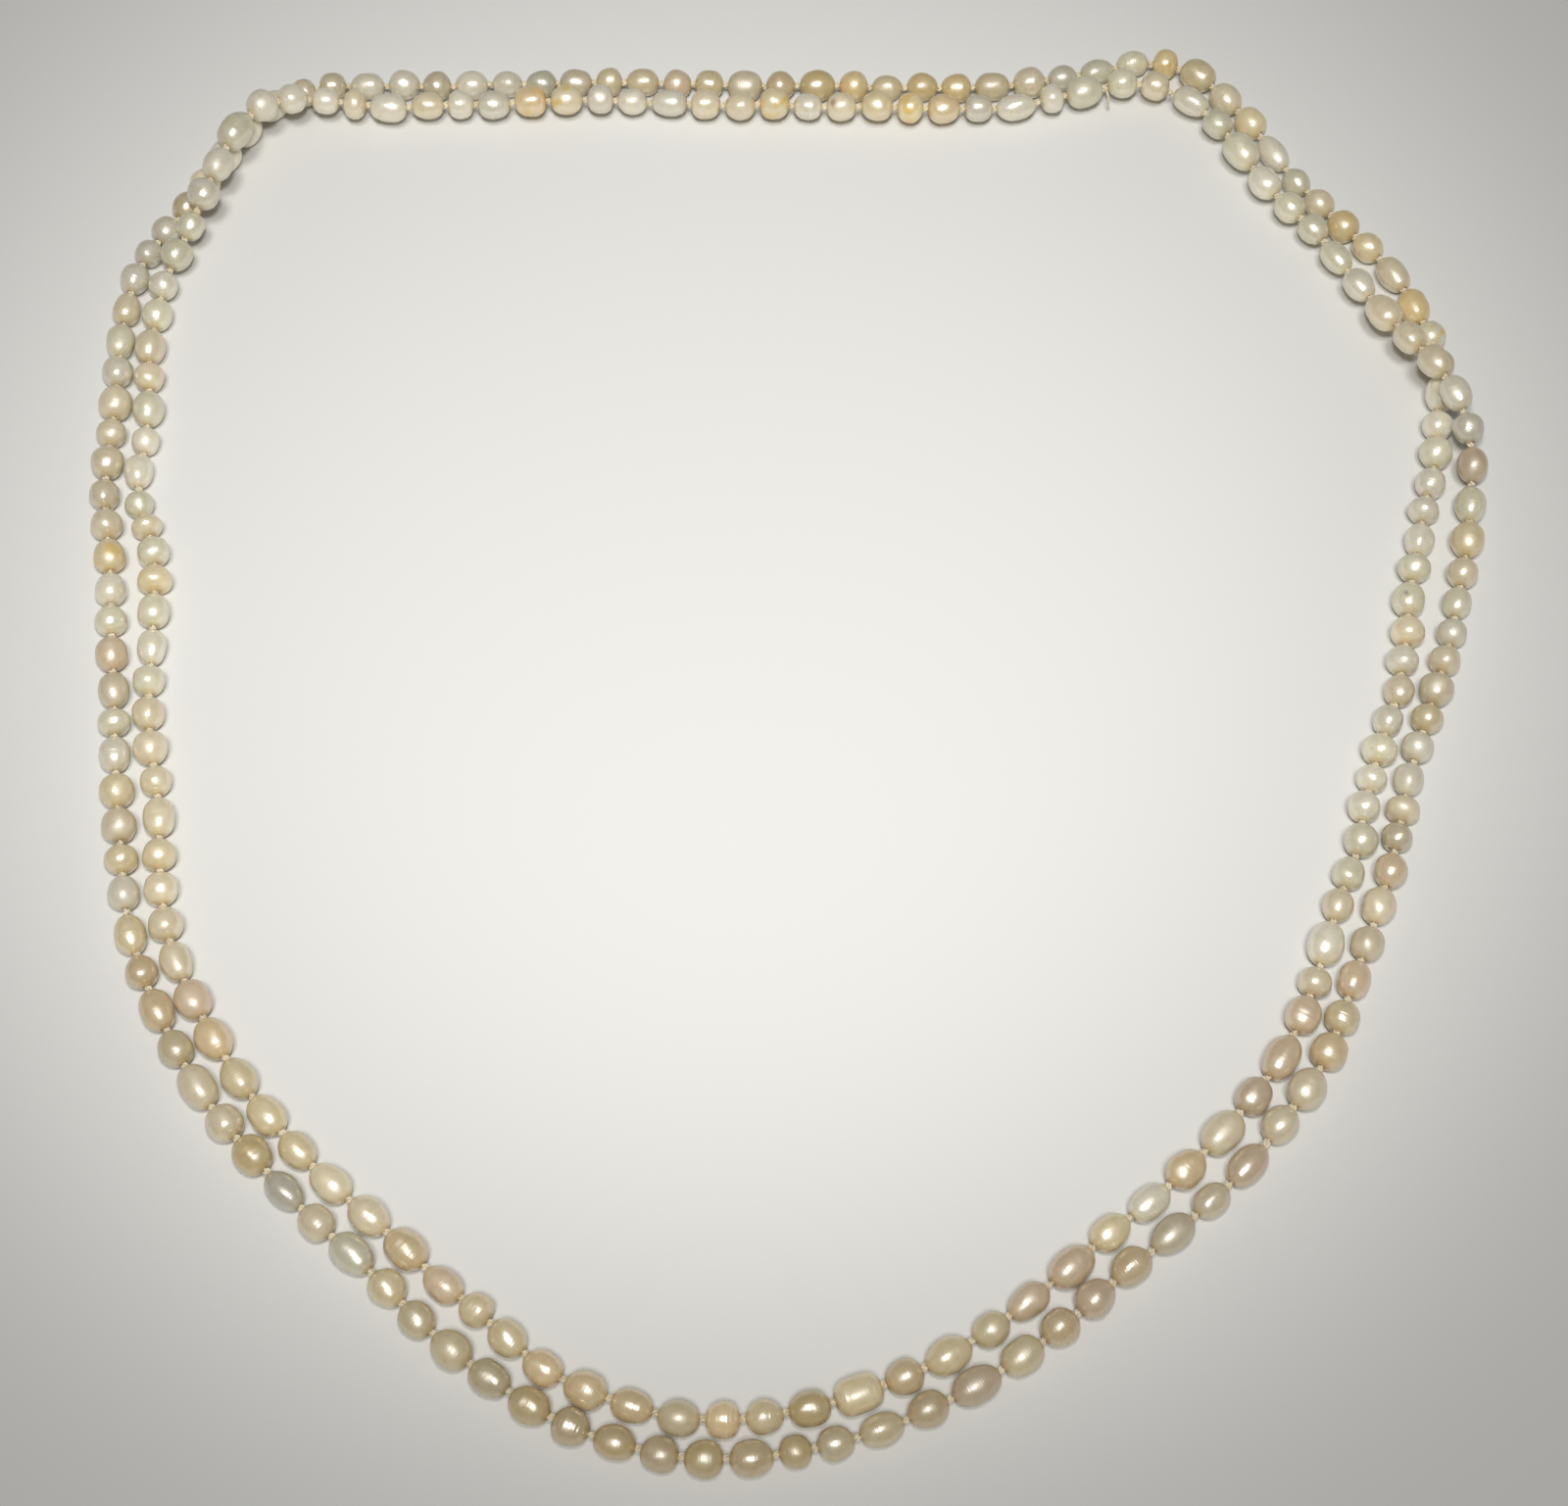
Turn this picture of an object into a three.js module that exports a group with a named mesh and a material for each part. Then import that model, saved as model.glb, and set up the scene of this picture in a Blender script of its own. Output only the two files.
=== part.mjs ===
// A long endless rope of off-round pearls, knotted one by one on silk and laid down doubled, in two laps.
// Millimetres, +Z up, resting on z = 0. One lap lies outside the other. They change places where
// crossing_over passes above crossing_under, and the inner lap rides over the outer one again at the far corner.
import * as THREE from "three";

// ---- driving dimensions -------------------------------------------------------------------
const SIDES = 8; // facets round a pearl, one of them flat on the ground
const APOTHEM = 0.93; // half width of the faceted pearl, as a share of the pearl's radius
const BELLY = 0.38; // where the full width ends, as a share of the pearl's half length
const KNOT_R = 0.55; // silk knot between two pearls
const SILK_R = 0.5; // silk where one run of pearls ends and the next begins
const STUB = 0.2; // half the clearance left at a knot between two runs
const TIP_R = 0.45; // drill-hole rim of a pearl beside one of the two free knots
const TAIL_R = 0.3; // loose end of silk at the closing knot
const FREE_KNOTS = [53, 170]; // the knots, one in each lap, that have no joint
const TAIL_PATH = [[58.15, 120.4, 4.22], [58.35, 119.73, 3.72], [58.48, 119.3, 2.57], [58.53, 119.16, 1.32]];

// ---- pearls, in rope order: x, y, z, half length, radius, 1 if it lies flat ---------------
const PEARLS = [
  [109.9, 57.08, 7.688, 3.07, 2.63, 0], [112.84, 50.7, 7.48, 3.2, 2.49, 0], [114.52, 44.58, 5.896, 2.59, 2.63, 0], [114.93, 38.49, 3.826, 3.13, 2.63, 0],
  [114, 31.35, 2.446, 3.35, 2.63, 1], [112.68, 24.23, 2.591, 3.23, 2.79, 1], [111.13, 17.82, 2.42, 2.55, 2.6, 1], [109.59, 12.13, 2.226, 2.72, 2.39, 1],
  [108.06, 6.32, 2.335, 2.43, 2.51, 1], [106.38, 1.13, 2.446, 2.41, 2.63, 1], [104.19, -4.48, 2.611, 2.75, 2.81, 1], [102.15, -9.82, 2.456, 2.32, 2.64, 1],
  [100.12, -15.02, 2.444, 2.46, 2.63, 1], [98.11, -20.69, 2.252, 2.9, 2.42, 1], [96.55, -26.29, 2.574, 2.1, 2.77, 1], [95.18, -31.07, 2.308, 2.25, 2.48, 1],
  [93.51, -36.96, 2.446, 2.86, 2.63, 1], [91.08, -43.04, 2.484, 3.07, 2.67, 1], [88.72, -49.38, 2.408, 2.75, 2.59, 1], [86.11, -55.31, 2.323, 3.11, 2.5, 1],
  [83.67, -61.64, 2.481, 2.64, 2.67, 1], [81.17, -67.21, 2.59, 2.84, 2.78, 1], [77.26, -73.33, 2.666, 3.37, 2.87, 1], [72.84, -78.92, 2.517, 3.12, 2.71, 1],
  [67.55, -85.19, 2.349, 3.8, 2.53, 1], [61.87, -90.63, 2.226, 3.05, 2.39, 1], [55.86, -95.7, 2.363, 3.8, 2.54, 1], [49.51, -100.72, 2.446, 3.29, 2.63, 1],
  [44.07, -105.39, 2.488, 3.14, 2.68, 1], [38.79, -109.73, 2.502, 2.89, 2.69, 1], [33.3, -113.88, 2.446, 3.28, 2.63, 1], [26.61, -118.13, 2.483, 3.8, 2.67, 1],
  [19.73, -121.51, 2.415, 3.07, 2.6, 1], [13.2, -124.31, 2.226, 3.28, 2.39, 1], [6.72, -126.27, 2.318, 2.67, 2.49, 1], [1.08, -127.41, 2.277, 2.36, 2.45, 1],
  [-5.08, -128.41, 2.512, 3.1, 2.7, 1], [-11.72, -128.59, 2.536, 2.77, 2.73, 1], [-17.89, -127.89, 2.395, 2.7, 2.57, 1], [-24.23, -126.23, 2.382, 3.08, 2.56, 1],
  [-30.43, -124.02, 2.548, 2.73, 2.74, 1], [-36.33, -121.06, 2.503, 3.14, 2.69, 1], [-42.19, -117.1, 2.403, 3.1, 2.58, 1], [-47.83, -112.97, 2.545, 3.17, 2.74, 1],
  [-53, -108.52, 2.436, 2.81, 2.62, 1], [-57.53, -103.88, 2.446, 3, 2.63, 1], [-63, -98.75, 2.433, 3.66, 2.62, 1], [-68.5, -94.01, 2.446, 2.86, 2.63, 1],
  [-73.66, -89.08, 2.226, 3.52, 2.39, 1], [-78.78, -83.63, 2.563, 3.14, 2.76, 1], [-83.32, -78.71, 2.645, 2.83, 2.84, 1], [-87.85, -72.96, 2.515, 3.7, 2.7, 1],
  [-91.83, -66.66, 2.446, 2.95, 2.63, 1], [-95.29, -60.44, 2.446, 3.48, 2.63, 1], [-98.31, -54.07, 2.348, 2.69, 2.52, 1], [-100.76, -47.77, 2.336, 3.45, 2.51, 1],
  [-102.58, -40.72, 2.351, 2.83, 2.53, 1], [-103.51, -35.02, 2.525, 2.33, 2.72, 1], [-104.56, -29.08, 2.55, 2.74, 2.74, 1], [-105.59, -22.97, 2.603, 2.83, 2.8, 1],
  [-106.75, -16.26, 2.345, 3, 2.52, 1], [-107.44, -10.52, 2.489, 2.15, 2.68, 1], [-108.26, -4.53, 2.37, 3.14, 2.55, 1], [-109.34, 2.27, 2.437, 3.02, 2.62, 1],
  [-110.23, 8.62, 2.458, 2.58, 2.64, 1], [-110.94, 14.66, 2.351, 2.81, 2.53, 1], [-111.88, 21.17, 2.455, 2.94, 2.64, 1], [-113.12, 27.37, 2.486, 2.67, 2.67, 1],
  [-114.21, 33.46, 2.329, 2.7, 2.5, 1], [-114.35, 39.73, 2.588, 2.85, 2.78, 1], [-114.46, 45.87, 2.393, 2.48, 2.57, 1], [-114.41, 51.98, 2.666, 2.97, 2.87, 1],
  [-114.8, 58.6, 2.493, 2.78, 2.68, 1], [-115.13, 65.2, 2.295, 3.19, 2.47, 1], [-114.84, 72.31, 2.226, 3.02, 2.39, 1], [-114.14, 78.77, 2.446, 2.85, 2.63, 1],
  [-112.34, 84.65, 2.226, 2.37, 2.39, 1], [-109.73, 89.51, 2.402, 2.52, 2.58, 1], [-106.55, 94.85, 2.486, 2.75, 2.67, 1], [-103.87, 100.26, 2.578, 2.67, 2.77, 1],
  [-100.98, 106.42, 2.666, 3.22, 2.87, 1], [-97.82, 112.61, 2.666, 3.09, 2.87, 1], [-93.5, 118.64, 2.446, 3.43, 2.63, 1], [-87.99, 121.69, 2.446, 2.2, 2.63, 1],
  [-82.88, 123.23, 2.401, 2.42, 2.58, 1], [-76.58, 123.37, 2.288, 3.1, 2.46, 1], [-69.84, 123.4, 2.56, 2.81, 2.75, 1], [-63.79, 122.96, 2.549, 2.53, 2.74, 1],
  [-57.53, 123.49, 2.446, 2.95, 2.63, 1], [-51.09, 123.91, 2.226, 2.75, 2.39, 1], [-44.88, 123.99, 2.226, 2.7, 2.39, 1], [-38.53, 124.09, 2.343, 2.9, 2.52, 1],
  [-32.44, 124.21, 2.447, 2.4, 2.63, 1], [-26.35, 124.21, 2.377, 3, 2.56, 1], [-19.97, 123.65, 2.479, 2.56, 2.67, 1], [-14.18, 123.7, 2.414, 2.6, 2.6, 1],
  [-7.64, 123.08, 2.666, 3.14, 2.87, 1], [-1.14, 123.19, 2.478, 2.68, 2.66, 1], [5.57, 123.12, 2.666, 3.26, 2.87, 1], [12.16, 123.06, 2.666, 2.6, 2.87, 1],
  [18.28, 123.04, 2.226, 2.83, 2.39, 1], [24.69, 123.06, 2.415, 2.82, 2.6, 1], [30.9, 122.75, 2.477, 2.72, 2.66, 1], [37.48, 123.19, 2.405, 3.15, 2.59, 1],
  [44.24, 123.78, 2.666, 2.93, 2.87, 1], [50.42, 125.36, 2.226, 2.7, 2.39, 1], [56.87, 126.74, 2.234, 3.16, 2.4, 1], [63.44, 128.83, 2.226, 2.93, 2.39, 1],
  [69.41, 128.34, 2.636, 2.27, 2.83, 1], [75.21, 125.63, 2.666, 3.31, 2.87, 1], [79.86, 119.91, 2.547, 3.15, 2.74, 1], [83.92, 114.27, 2.542, 3.03, 2.73, 1],
  [87.47, 107.34, 2.226, 3.8, 2.39, 1], [91.11, 100.82, 2.226, 2.71, 2.39, 1], [94.62, 95.68, 2.446, 2.8, 2.63, 1], [98.37, 90.46, 2.636, 2.76, 2.83, 1],
  [102.36, 85.79, 2.396, 2.71, 2.58, 1], [106.18, 79.86, 2.333, 3.53, 2.51, 1], [108.98, 72.73, 2.458, 3.37, 2.64, 1], [111.23, 66.34, 2.434, 2.6, 2.62, 1],
  [112.31, 60.66, 2.238, 2.49, 2.41, 1], [111.61, 54.03, 2.446, 3.39, 2.63, 1], [110.29, 47.45, 2.446, 2.5, 2.63, 1], [109.3, 41.57, 2.666, 2.75, 2.87, 1],
  [107.8, 35.57, 2.446, 2.6, 2.63, 1], [106.06, 30.23, 2.446, 2.32, 2.63, 1], [104.76, 24.37, 2.301, 2.88, 2.47, 1], [103.15, 18.58, 2.557, 2.38, 2.75, 1],
  [101.69, 12.68, 2.51, 2.96, 2.7, 1], [100.85, 6.48, 2.612, 2.48, 2.81, 1], [99.46, 1.1, 2.446, 2.39, 2.63, 1], [98.36, -4.59, 2.329, 2.6, 2.5, 1],
  [96.03, -10.02, 2.267, 2.61, 2.44, 1], [94.02, -15.56, 2.666, 2.48, 2.87, 1], [92.26, -20.6, 2.349, 2.2, 2.53, 1], [90.5, -25.76, 2.446, 2.51, 2.63, 1],
  [89.44, -31.64, 2.563, 2.74, 2.76, 1], [87.06, -37.27, 2.336, 2.6, 2.51, 1], [84.84, -42.82, 2.276, 2.69, 2.45, 1], [82.32, -49.46, 2.666, 3.64, 2.87, 1],
  [80.11, -55.84, 2.446, 2.31, 2.63, 1], [77.79, -61.32, 2.54, 3.01, 2.73, 1], [74.01, -68.2, 2.415, 3.8, 2.6, 1], [69.31, -74.35, 2.446, 3.05, 2.63, 1],
  [64.25, -80.25, 2.564, 3.8, 2.76, 1], [58.4, -85.92, 2.508, 3.35, 2.7, 1], [52.79, -90.91, 2.246, 3.49, 2.41, 1], [46.77, -95.54, 2.401, 3.28, 2.58, 1],
  [40.93, -100.7, 2.504, 3.8, 2.69, 1], [34.52, -105.8, 2.226, 3.38, 2.39, 1], [29.05, -109.97, 2.329, 2.88, 2.5, 1], [22.81, -113.81, 2.492, 3.59, 2.68, 1],
  [16.5, -116.91, 2.446, 2.77, 2.63, 1], [9.97, -119.42, 2.626, 3.47, 2.82, 1], [3.07, -121.48, 2.446, 2.99, 2.63, 1], [-3.25, -122.56, 2.373, 2.71, 2.55, 1],
  [-9.14, -123.07, 2.551, 2.47, 2.74, 1], [-15.32, -122.81, 2.446, 3.02, 2.63, 1], [-21.95, -121, 2.259, 3.06, 2.43, 1], [-28.49, -118.76, 2.519, 3.17, 2.71, 1],
  [-34.7, -115.55, 2.338, 3.02, 2.51, 1], [-39.9, -111.31, 2.437, 3.02, 2.62, 1], [-44.57, -107.16, 2.455, 2.4, 2.64, 1], [-49.55, -103.32, 2.281, 3.27, 2.45, 1],
  [-55.22, -98.12, 2.588, 3.52, 2.78, 1], [-60.94, -93.07, 2.493, 3.49, 2.68, 1], [-66.94, -87.95, 2.388, 3.49, 2.57, 1], [-72.2, -82.92, 2.351, 3.17, 2.53, 1],
  [-77.19, -77.35, 2.434, 3.44, 2.62, 1], [-81.91, -71.5, 2.446, 3.45, 2.63, 1], [-86.29, -65.08, 2.507, 3.47, 2.7, 1], [-89.96, -58.8, 2.529, 3.15, 2.72, 1],
  [-93.22, -52.33, 2.237, 3.27, 2.41, 1], [-95.48, -46.09, 2.51, 2.7, 2.7, 1], [-96.85, -40.09, 2.522, 2.68, 2.71, 1], [-97.81, -34.17, 2.531, 2.64, 2.72, 1],
  [-98.53, -27.48, 2.343, 3.34, 2.52, 1], [-99.68, -21.03, 2.356, 2.45, 2.53, 1], [-101.15, -15.2, 2.613, 2.89, 2.81, 1], [-102.22, -8.75, 2.407, 2.83, 2.59, 1],
  [-102.74, -2.77, 2.446, 2.51, 2.63, 1], [-103.04, 3.66, 2.226, 3.16, 2.39, 1], [-103.4, 10.47, 2.478, 2.93, 2.66, 1], [-103.88, 16.42, 2.666, 2.28, 2.87, 1],
  [-104.78, 21.97, 2.523, 2.51, 2.71, 1], [-106.32, 26.91, 2.455, 1.9, 2.64, 1], [-108.18, 31.5, 2.226, 2.43, 2.39, 1], [-109.02, 38.22, 2.226, 3.14, 2.39, 1],
  [-108.47, 44.33, 2.226, 2.38, 2.39, 1], [-108.69, 50.93, 2.483, 3.39, 2.67, 1], [-109.28, 57.5, 2.446, 2.5, 2.63, 1], [-109.83, 63.96, 2.47, 3.25, 2.66, 1],
  [-109.3, 70.92, 2.486, 2.95, 2.67, 1], [-108.86, 77.12, 2.794, 2.58, 2.56, 0], [-107.03, 82.94, 4.075, 2.82, 2.83, 0], [-104.81, 88.37, 5.323, 2.52, 2.42, 0],
  [-102.81, 93.88, 7.365, 2.81, 2.87, 0], [-100.67, 100.3, 7.831, 3.25, 2.63, 0], [-98.18, 107.64, 8.324, 3.78, 2.87, 0], [-94.17, 113.72, 8.012, 2.73, 2.87, 0],
  [-89.11, 116.68, 6.612, 2.62, 2.69, 0], [-83.45, 117.75, 4.777, 2.48, 2.42, 0], [-78.25, 117.55, 4.233, 2.12, 2.83, 0], [-72.12, 116.82, 3.936, 3.35, 2.6, 0],
  [-65.09, 117.48, 3.772, 2.95, 2.48, 0], [-59.09, 117.67, 3.877, 2.37, 2.63, 0], [-53.07, 117.6, 3.769, 2.93, 2.54, 0], [-46.54, 118.34, 4.073, 2.89, 2.87, 0],
  [-39.99, 118.71, 3.902, 2.96, 2.69, 0], [-33.87, 118.94, 3.912, 2.39, 2.69, 0], [-28.08, 118.59, 3.617, 2.74, 2.4, 0], [-21.31, 118.22, 3.637, 3.22, 2.43, 0],
  [-14.71, 117.71, 3.887, 2.68, 2.68, 0], [-8.48, 117.39, 3.793, 2.79, 2.57, 0], [-2.25, 117.76, 4.105, 2.72, 2.87, 0], [3.81, 117.38, 3.658, 2.59, 2.44, 0],
  [9.87, 117.21, 3.819, 2.73, 2.63, 0], [16.29, 117.24, 3.964, 2.9, 2.79, 0], [22.35, 116.78, 3.934, 2.41, 2.76, 0], [28.42, 116.75, 3.813, 2.91, 2.63, 0],
  [34.69, 116.92, 3.703, 2.52, 2.5, 0], [41.5, 117.28, 3.632, 3.62, 2.39, 0], [48.04, 119.03, 3.95, 2.14, 2.68, 0], [53.97, 120.49, 4.136, 3.35, 2.87, 0],
  [61.03, 122.64, 4.009, 2.78, 2.73, 0], [66.99, 122.08, 3.876, 2.59, 2.63, 0], [73.37, 118.57, 3.616, 3.54, 2.39, 0], [77.79, 113.21, 3.786, 2.8, 2.58, 0],
  [81.44, 106.39, 4.055, 3.8, 2.87, 0], [85.02, 99.42, 3.834, 3.29, 2.63, 0], [89, 93.74, 3.897, 2.82, 2.68, 0], [92.83, 88.88, 3.831, 2.76, 2.58, 0],
  [96.27, 82.7, 3.656, 3.46, 2.39, 0], [99.53, 76.12, 4.33, 3.25, 2.55, 0], [102.87, 69.26, 5.538, 3.64, 2.79, 0], [106.46, 62.94, 6.709, 3.02, 2.63, 0],
];

// ---- runs of pearls: node name, first pearl, number of pearls ------------------------------
const RUNS = [
  ["crossing_over", 233, 6],
  ["crossing_under", 118, 6],
  ["outer_01", 3, 4],
  ["outer_02", 7, 4],
  ["outer_03", 11, 5],
  ["outer_04", 16, 4],
  ["outer_05", 20, 4],
  ["outer_06", 24, 4],
  ["outer_07", 28, 5],
  ["outer_08", 33, 4],
  ["outer_09", 37, 4],
  ["outer_10", 41, 4],
  ["outer_11", 45, 5],
  ["outer_12", 50, 4],
  ["outer_13", 54, 4],
  ["outer_14", 58, 4],
  ["outer_15", 62, 4],
  ["outer_16", 66, 4],
  ["outer_17", 70, 4],
  ["outer_18", 74, 4],
  ["outer_19", 78, 4],
  ["outer_20", 82, 4],
  ["outer_21", 86, 4],
  ["outer_22", 90, 4],
  ["outer_23", 94, 4],
  ["outer_24", 98, 4],
  ["outer_25", 102, 4],
  ["outer_26", 106, 4],
  ["outer_27", 110, 4],
  ["outer_28", 114, 4],
  ["inner_01", 124, 4],
  ["inner_02", 128, 4],
  ["inner_03", 132, 4],
  ["inner_04", 136, 4],
  ["inner_05", 140, 4],
  ["inner_06", 144, 3],
  ["inner_07", 147, 4],
  ["inner_08", 151, 4],
  ["inner_09", 155, 4],
  ["inner_10", 159, 4],
  ["inner_11", 163, 4],
  ["inner_12", 167, 4],
  ["inner_13", 171, 4],
  ["inner_14", 175, 4],
  ["inner_15", 179, 4],
  ["inner_16", 183, 4],
  ["inner_17", 187, 3],
  ["inner_18", 190, 4],
  ["inner_19", 194, 4],
  ["inner_20", 198, 4],
  ["inner_21", 202, 4],
  ["inner_22", 206, 4],
  ["inner_23", 210, 4],
  ["inner_24", 214, 4],
  ["inner_25", 218, 3],
  ["inner_26", 221, 4],
  ["inner_27", 225, 4],
  ["inner_28", 229, 4],
];

const COUNT = PEARLS.length;
const wrap = (i) => (i + COUNT) % COUNT;
const centre = (i) => new THREE.Vector3(...PEARLS[wrap(i)].slice(0, 3));
const halfLength = (i) => PEARLS[wrap(i)][3];
const radius = (i) => PEARLS[wrap(i)][4];

// The knot between pearl i and the next, in the middle of the silk that shows there.
function knot(i) {
  const a = centre(i), b = centre(i + 1), span = a.distanceTo(b);
  const gap = span - halfLength(i) - halfLength(i + 1);
  return a.lerp(b, (halfLength(i) + gap / 2) / span);
}

// The direction of a pearl's drill hole.
function drill(i) {
  const t = knot(i).sub(knot(i - 1));
  if (PEARLS[wrap(i)][5]) t.z = 0;
  return t.normalize();
}

// A run is a lathe-turned profile whose rings are carried from the straight lathe axis to their places on the rope.
function runGeometry(first, n) {
  const rings = []; // {centre, axis, r}
  const last = first + n - 1;
  const ring = (c, t, r) => rings.push({ c, t, r });
  const t0 = drill(first), t1 = drill(last);
  if (FREE_KNOTS.includes(wrap(first - 1)))
    ring(centre(first).addScaledVector(t0, -halfLength(first)), t0, TIP_R);
  else ring(knot(first - 1).addScaledVector(t0, STUB), t0, SILK_R);
  for (let i = first; i <= last; i++) {
    const t = drill(i), r = (radius(i) * APOTHEM) / Math.cos(Math.PI / SIDES);
    ring(centre(i).addScaledVector(t, -BELLY * halfLength(i)), t, r);
    ring(centre(i).addScaledVector(t, BELLY * halfLength(i)), t, r);
    if (i < last) ring(knot(i), t.clone().add(drill(i + 1)).normalize(), KNOT_R);
  }
  if (FREE_KNOTS.includes(wrap(last)))
    ring(centre(last).addScaledVector(t1, halfLength(last)), t1, TIP_R);
  else ring(knot(last).addScaledVector(t1, -STUB), t1, SILK_R);

  const profile = [new THREE.Vector2(0, 0)];
  rings.forEach((k, j) => profile.push(new THREE.Vector2(k.r, j)));
  profile.push(new THREE.Vector2(0, rings.length - 1));
  const g = new THREE.LatheGeometry(profile, SIDES, Math.PI / SIDES);
  const p = g.attributes.position, v = new THREE.Vector3(), up = new THREE.Vector3(0, 0, 1);
  for (let j = 0; j < p.count; j++) {
    v.fromBufferAttribute(p, j);
    const k = rings[Math.round(v.y)];
    const side = k.t.clone().cross(up).normalize(), rise = side.clone().cross(k.t);
    const q = k.c.clone().addScaledVector(side, v.x).addScaledVector(rise, v.z);
    p.setXYZ(j, q.x, q.y, q.z);
  }
  g.computeVertexNormals();
  return g;
}

// The loose silk end: a hexagon swept from beside the closing knot down to the ground in front of the rope.
function tailGeometry() {
  const path = new THREE.CatmullRomCurve3(TAIL_PATH.map((p) => new THREE.Vector3(...p)));
  const shape = new THREE.Shape();
  for (let k = 0; k < 6; k++) {
    const a = (k * Math.PI) / 3;
    shape[k ? "lineTo" : "moveTo"](TAIL_R * Math.cos(a), TAIL_R * Math.sin(a));
  }
  shape.closePath();
  return new THREE.ExtrudeGeometry(shape, { extrudePath: path, steps: 6, bevelEnabled: false });
}

const pearlLook = () => new THREE.MeshStandardMaterial({ color: 0xe9ddc4, roughness: 0.28, metalness: 0 });
const silkLook = () => new THREE.MeshStandardMaterial({ color: 0xe8d9b4, roughness: 0.9, metalness: 0 });

const group = new THREE.Group();
for (const [name, first, n] of RUNS) {
  const mesh = new THREE.Mesh(runGeometry(first, n), pearlLook());
  mesh.name = name;
  group.add(mesh);
}
const tail = new THREE.Mesh(tailGeometry(), silkLook());
tail.name = "closing_knot_tail";
group.add(tail);

export default group;
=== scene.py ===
import math

import bpy
import numpy as np
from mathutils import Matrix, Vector, noise


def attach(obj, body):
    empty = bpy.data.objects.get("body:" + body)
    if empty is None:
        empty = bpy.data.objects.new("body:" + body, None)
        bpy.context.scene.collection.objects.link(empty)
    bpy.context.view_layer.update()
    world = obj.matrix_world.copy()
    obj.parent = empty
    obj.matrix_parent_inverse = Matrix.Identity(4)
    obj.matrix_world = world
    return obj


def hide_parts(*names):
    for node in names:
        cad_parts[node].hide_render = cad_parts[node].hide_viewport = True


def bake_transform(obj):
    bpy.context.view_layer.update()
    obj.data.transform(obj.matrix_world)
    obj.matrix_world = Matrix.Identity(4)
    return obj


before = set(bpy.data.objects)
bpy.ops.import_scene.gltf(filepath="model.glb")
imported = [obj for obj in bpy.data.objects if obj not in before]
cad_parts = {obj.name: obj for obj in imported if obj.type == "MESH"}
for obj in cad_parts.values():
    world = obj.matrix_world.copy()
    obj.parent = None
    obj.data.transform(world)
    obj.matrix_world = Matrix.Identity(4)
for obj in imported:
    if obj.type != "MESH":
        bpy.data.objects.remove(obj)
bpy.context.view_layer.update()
scene = bpy.context.scene

MM = 0.001

# ---- camera ------------------------------------------------------------------
cam_data = bpy.data.cameras.new("camera")
cam_data.sensor_width = 36.0
cam_data.lens = 64.8
cam_data.clip_start = 0.01
cam_data.clip_end = 50.0
cam = bpy.data.objects.new("camera", cam_data)
cam.location = (-0.00053, -0.23317, 0.39441)
cam.rotation_euler = (math.radians(29.0), 0.0, 0.0)
scene.collection.objects.link(cam)
scene.camera = cam

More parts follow.
